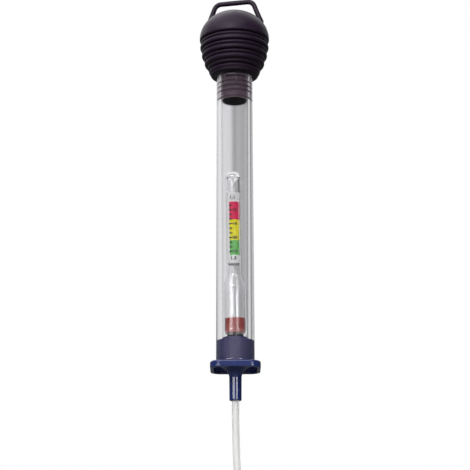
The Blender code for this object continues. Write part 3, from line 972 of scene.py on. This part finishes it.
def lump(mesh, foot, top, depth):
    """Soft waves in the glass where the tip was melted, growing from a height to the tip."""
    for corner in mesh.vertices:
        share = (corner.co.z - foot) / (top - foot)
        if share <= 0:
            continue
        turn = math.atan2(corner.co.y, corner.co.x)
        wave = math.sin(3 * turn + 5 * share) + 0.7 * math.sin(5 * turn - 9 * share)
        wave += 0.5 * math.cos(2 * turn)
        sunk = depth * max(0.0, 1.0 + wave) * min(1.0, 2 * share)
        shrunk = 1 - sunk / max(math.hypot(corner.co.x, corner.co.y), tip_lump_core)
        corner.co.x *= shrunk
        corner.co.y *= shrunk


def make_float_glass(glass):
    """A blown shell: its outside, and its sealed hollow as a second closed surface."""
    stem_top = float_length - float_tip_height
    outside = quarter(float_stem_radius, stem_top, float_tip_height, 12, 90, 0)
    outside[0] = (0.0, float_length)
    outside = outside[:-1] + glass_line(0.0, stem_top)
    hollow_radius = float_stem_radius - float_glass_wall
    hollow_top = float_length - float_cap_thickness
    neck_of_hollow = stem_top - float_cap_thickness
    hollow = []
    for angle in arc_points(10, 90, 0):
        reach = hollow_radius * math.cos(angle)
        rise = (hollow_top - neck_of_hollow) * math.sin(angle) ** hollow_tip_power
        hollow.append((reach, neck_of_hollow + rise))
    hollow[0] = (0.0, hollow_top)
    hollow = hollow[:-1] + glass_line(float_glass_wall, neck_of_hollow)
    mesh = turned_mesh("blown_float", outside, slim_steps)
    inner = turned_mesh("float_hollow", hollow, slim_steps)
    lump(mesh, stem_top - float_tip_height, float_length, tip_lump_depth)
    lump(inner, neck_of_hollow - float_tip_height, hollow_top, 2 * tip_lump_depth)
    inner.flip_normals()
    joined = bmesh.new()
    joined.from_mesh(mesh)
    joined.from_mesh(inner)
    joined.to_mesh(mesh)
    joined.free()
    bpy.data.meshes.remove(inner)
    glass_piece = piece("blown_float", mesh, glass, crease=60.0)
    ride_in_float(glass_piece, "float_glass", "float_glass", "float_stem_tip")


# Scale: places along the paper, in metres, measured up from its lower edge, and in degrees from its front
field_left = -34.0
field_right = 64.0
green_foot = 0.0056
green_top = 0.0160
yellow_top = 0.0305
red_top = 0.0432
ink_edge = 0.00006             # half width of a field's soft edge
ink_side_edge = 0.36           # the same on its sides, in degrees
ink_lift = 0.00002
ink_facet = 0.0004             # longest facet of a bar that is bent round the paper
tick_width = 0.0018
long_tick_share = 1.3
tick_height = 0.0010
tick_pitch = 0.00325
first_tick_drop = 0.0026       # below the red field's top
last_tick_rise = 0.0010        # above the green field's foot
tick_middle = 11.0             # degrees from the field's left side, as the two starts are
number_start = 28.0
number_size = 0.0027
number_weight = 0.00010        # how much the strokes are thickened
reading_start = 4.0
reading_size_share = 1.15
top_reading_rise = 0.0030
foot_reading_drop = 0.0022
red_ink = (0.78, 0.020, 0.105)
yellow_ink = (0.90, 0.82, 0.014)
green_ink = (0.16, 0.56, 0.13)
paper_colour = (0.82, 0.82, 0.81)
paper_radius = float_stem_radius - float_glass_wall + optical_contact
scale_foot = float_length - scale_top_drop - scale_length


def paper_finish():
    """Paper with three printed fields, from the strip's own map: across it in turns, up it as a share."""
    made, tree = new_finish("scale_paper", paper_colour, 0.62, Specular_IOR_Level=0.25)
    strip = new_node(tree, "UVMap")
    strip.uv_map = "strip"
    parts = split(tree, strip.outputs[0])

    def above(height):
        return between(
            tree, parts["Y"], (height - ink_edge) / scale_length, (height + ink_edge) / scale_length,
        )

    def right_of(angle):
        return between(
            tree, parts["X"], 0.5 + (angle - ink_side_edge) / 360, 0.5 + (angle + ink_side_edge) / 360,
        )

    def outside(mask):
        return reckoned(tree, "SUBTRACT", 1.0, mask)

    fields = mixed(tree, above(green_top), green_ink, yellow_ink)
    fields = mixed(tree, above(yellow_top), fields, red_ink)
    in_field = above(green_foot)
    for mask in (outside(above(red_top)), right_of(field_left), outside(right_of(field_right))):
        in_field = reckoned(tree, "MULTIPLY", in_field, mask)
    fibre = mixed(tree, grain(tree, 0.5, detail=6.0), (0.78, 0.78, 0.77), (0.88, 0.88, 0.87))
    shade(
        tree,
        Base_Color=mixed(tree, in_field, fibre, fields),
        Roughness=ranged(tree, in_field, 0.68, 0.42),
    )
    relief(tree, grain(tree, 0.25, detail=5.0), depth=0.00001, strength=0.5)
    return made


def around(angle, height, radius):
    """A point on the rolled paper: angle from its front, in degrees, and height above its lower edge."""
    turn = math.radians(angle)
    return Vector((radius * math.sin(turn), -radius * math.cos(turn), scale_foot + height))


def make_scale_paper(paper):
    """A strip rolled in a tube, whose ends lap at the back."""
    across_steps = 96
    up_steps = 40
    span = 360.0 + scale_overlap
    shape = bmesh.new()
    map_layer = shape.loops.layers.uv.new("strip")
    grid = []
    for step in range(across_steps + 1):
        angle = -span / 2 + span * step / across_steps
        radius = paper_radius - 2 * scale_paper_thickness * step / across_steps
        grid.append([
            shape.verts.new(around(angle, scale_length * rise / up_steps, radius))
            for rise in range(up_steps + 1)
        ])
    corners = ((0, 0), (1, 0), (1, 1), (0, 1))
    for step in range(across_steps):
        for rise in range(up_steps):
            face = shape.faces.new([grid[step + right][rise + up] for right, up in corners])
            for loop, (right, up) in zip(face.loops, corners):
                turn = (-span / 2 + span * (step + right) / across_steps) / 360
                loop[map_layer].uv = (0.5 + turn, (rise + up) / up_steps)
    strip = placed("paper_strip", mesh_of(shape, "rolled_paper"))
    sheet = strip.modifiers.new("sheet", "SOLIDIFY")
    sheet.thickness = scale_paper_thickness
    sheet.offset = -1.0
    rolled = piece("rolled_scale", mesh_from(strip, "rolled_scale"), paper)
    ride_in_float(rolled, "scale_paper", "scale_paper")


def wrap_on_scale(mesh, angle, height):
    """Bends a flat mark, drawn in its own X and Y, onto the paper's face."""
    for corner in mesh.vertices:
        turn = angle + math.degrees(corner.co.x / paper_radius)
        corner.co = around(turn, height + corner.co.y, paper_radius + ink_lift + corner.co.z)


def bar_mesh(name, width, height):
    shape = bmesh.new()
    bmesh.ops.create_grid(shape, x_segments=max(1, round(width / ink_facet)), y_segments=1, size=0.5)
    bmesh.ops.scale(shape, verts=shape.verts, vec=(width, height, 1.0))
    return mesh_of(shape, name)


def number_mesh(name, words, size):
    text = bpy.data.curves.new(name, "FONT")
    text.body = words
    text.size = size
    text.align_x = "LEFT"
    text.align_y = "CENTER"
    text.resolution_u = 3
    text.offset = number_weight
    return mesh_from(placed(name, text), name)


def add_mark(name, mesh, angle, height, ink):
    wrap_on_scale(mesh, angle, height)
    mark = piece(name, mesh, ink)
    mark.data.transform(float_place)
    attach(mark, "float")


def make_scale_marks(ink):
    """Graduations down the coloured fields, every third longer and with a plain number beside it."""
    reading = 10
    number = 0
    height = red_top - first_tick_drop
    while height > green_foot + last_tick_rise:
        long_tick = number % 3 == 1
        width = tick_width * (long_tick_share if long_tick else 1.0)
        name = f"scale_tick_{number:02d}"
        add_mark(name, bar_mesh(name, width, tick_height), field_left + tick_middle, height, ink)
        if long_tick:
            name = f"scale_number_{reading}"
            words = number_mesh(name, str(reading), number_size)
            add_mark(name, words, field_left + number_start, height, ink)
            reading += 5
        height -= tick_pitch
        number += 1
    for name, words, height in (
        ("scale_top_reading", "1.1", red_top + top_reading_rise),
        ("scale_foot_reading", "1.3", green_foot - foot_reading_drop),
    ):
        mesh = number_mesh(name, words, number_size * reading_size_share)
        add_mark(name, mesh, field_left + reading_start, height, ink)


def wax_radius(height):
    """Radius of the wax in the float's body at a height above its lowest point."""
    reach = float_body_radius - float_glass_wall - wax_clearance
    below = max(0.0, float_body_radius - height)
    return math.sqrt(max(0.0, reach ** 2 - below ** 2))


def make_wax(wax):
    top = wax_foot_height + wax_height
    rim = wax_radius(top)
    profile = [(0.0, top - wax_meniscus)]
    top_steps = 8
    for step in range(1, top_steps + 1):
        share = step / top_steps
        profile.append((rim * share, top - wax_meniscus * (1 - share ** wax_rim_power)))
    side_steps = 12
    for step in range(1, side_steps + 1):
        height = top - wax_height * step / side_steps
        profile.append((wax_radius(height), height))
    profile.append((0.0, wax_foot_height))
    plug = piece("wax_plug", turned_mesh("wax_plug", profile, slim_steps), wax, crease=50.0)
    ride_in_float(plug, "red_wax", "sealing_wax")


def make_shot(lead):
    """Each lead ball takes its place from its CAD node."""
    for number in range(1, shot_count + 1):
        name = f"lead_ball_{number:02d}"
        low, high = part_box(f"lead_shot_{number:02d}")
        shape = bmesh.new()
        bmesh.ops.create_icosphere(shape, subdivisions=4, radius=shot_radius)
        mesh = mesh_of(shape, name)
        mesh.transform(Matrix.Translation((low + high) / 2))
        ball = piece(name, mesh, lead, crease=80.0)
        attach(ball, "float")
        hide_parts(f"lead_shot_{number:02d}")


# Studio


def make_camera():
    data = bpy.data.cameras.new("camera")
    data.sensor_width = camera_sensor
    data.lens = camera_lens
    camera = placed("camera", data)
    rise = math.radians(camera_rise)
    aim = Vector((0.0, 0.0, camera_aim_z))
    camera.location = aim + camera_distance * Vector((0.0, -math.cos(rise), -math.sin(rise)))
    turn = (aim - camera.location).to_track_quat("-Z", "Y")
    camera.rotation_mode = "QUATERNION"
    camera.rotation_quaternion = turn @ Matrix.Rotation(math.radians(camera_roll), 3, "Z").to_quaternion()
    bpy.context.scene.camera = camera


def add_softbox(name, azimuth, elevation, height, distance, width, depth, power):
    """A soft lamp that faces the axis at a height. Its azimuth is 0 on the camera's side."""
    data = bpy.data.lights.new(name, "AREA")
    data.shape = "RECTANGLE"
    data.size = width
    data.size_y = depth
    data.energy = power
    lamp = placed(name, data)
    turn = math.radians(azimuth)
    rise = math.radians(elevation)
    back = Vector((math.sin(turn) * math.cos(rise), -math.cos(turn) * math.cos(rise), math.sin(rise)))
    lamp.location = Vector((0.0, 0.0, height)) + back * distance
    lamp.rotation_euler = back.to_track_quat("Z", "Y").to_euler()


def grey_ramp(tree, turn, greys):
    """Greys around the horizon, from pairs of azimuth, 0 straight behind the tester, and level."""
    node = new_node(tree, "ValToRGB")
    node.color_ramp.interpolation = "EASE"
    stops = node.color_ramp.elements
    stops.remove(stops[1])
    for number, (azimuth, level) in enumerate(greys):
        place = 0.5 + azimuth / 360
        stop = stops[0] if number == 0 else stops.new(place)
        stop.position = place
        stop.color = (level, level * 0.995, level * 1.01, 1.0)
    feed(tree, node.inputs["Fac"], turn)
    return node.outputs["Color"]


def make_world():
    """White to the camera. Clear pieces show a room of grey bands above white, and glossy ones a sheen."""
    world = bpy.data.worlds.new("pale_room")
    bpy.context.scene.world = world
    world.use_nodes = True
    tree = world.node_tree
    direction = split(tree, coordinate(tree, "Generated"))
    azimuth = reckoned(tree, "ARCTAN2", direction["X"], direction["Y"])
    turn = between(tree, azimuth, -math.pi, math.pi, curve="LINEAR")
    above_white = between(tree, direction["Z"], 0.12, 0.165)
    room = mixed(tree, above_white, (0.95, 0.95, 0.95), grey_ramp(tree, turn, room_greys))
    raised = between(tree, direction["Z"], 0.15, 0.33, low=0.15)
    sheen = reckoned(tree, "MULTIPLY", grey_ramp(tree, turn, sheen_greys), raised, "VectorMath")
    path = new_node(tree, "LightPath").outputs
    seen = mixed(tree, path["Is Glossy Ray"], (0.17, 0.17, 0.175), sheen)
    seen = mixed(tree, path["Is Transmission Ray"], seen, room)
    seen = mixed(tree, path["Is Camera Ray"], seen, (1.0, 1.0, 1.0))
    feed(tree, tree.nodes["Background"].inputs["Color"], seen)


def make_floor():
    """A pale floor well below the hanging tester. It keeps the shadow and fades to white further out."""
    shape = bmesh.new()
    bmesh.ops.create_circle(shape, cap_ends=True, segments=96, radius=floor_radius)
    mesh = mesh_of(shape, "floor")
    mesh.transform(Matrix.Translation((0.0, 0.0, floor_z)))
    made, tree = new_finish("pale_floor", (0.14, 0.14, 0.14), 0.8)
    white = new_node(tree, "Emission", Color=(1.0, 1.0, 1.0))
    far = between(tree, from_axis(tree), floor_fade_start, floor_fade_end, low=0.55)
    path = new_node(tree, "LightPath").outputs
    gloss = reckoned(tree, "MULTIPLY", path["Is Glossy Ray"], 0.05)
    seen = reckoned(tree, "MAXIMUM", path["Is Transmission Ray"], gloss)
    seen = reckoned(tree, "MAXIMUM", path["Is Camera Ray"], seen)
    whitened = reckoned(tree, "MULTIPLY", far, seen)
    blend_surface(tree, whitened, shader_of(tree).outputs[0], white.outputs[0])
    floor = placed("floor", mesh)
    mesh.materials.append(made)


def make_studio():
    make_camera()
    for softbox in softboxes:
        add_softbox(*softbox)
    make_world()
    make_floor()
    bpy.context.scene.view_settings.view_transform = "Standard"


make_studio()
rubber = rubber_finish()
make_bulb(rubber)
make_neck(neck_finish())
make_loop(rubber)
make_barrel(barrel_finish())
make_foot(moulding_finish())
make_suction_tube(milky_finish())
make_float_glass(float_glass_finish())
make_scale_paper(paper_finish())
make_scale_marks(ink_finish())
make_wax(wax_finish())
make_shot(lead_finish())
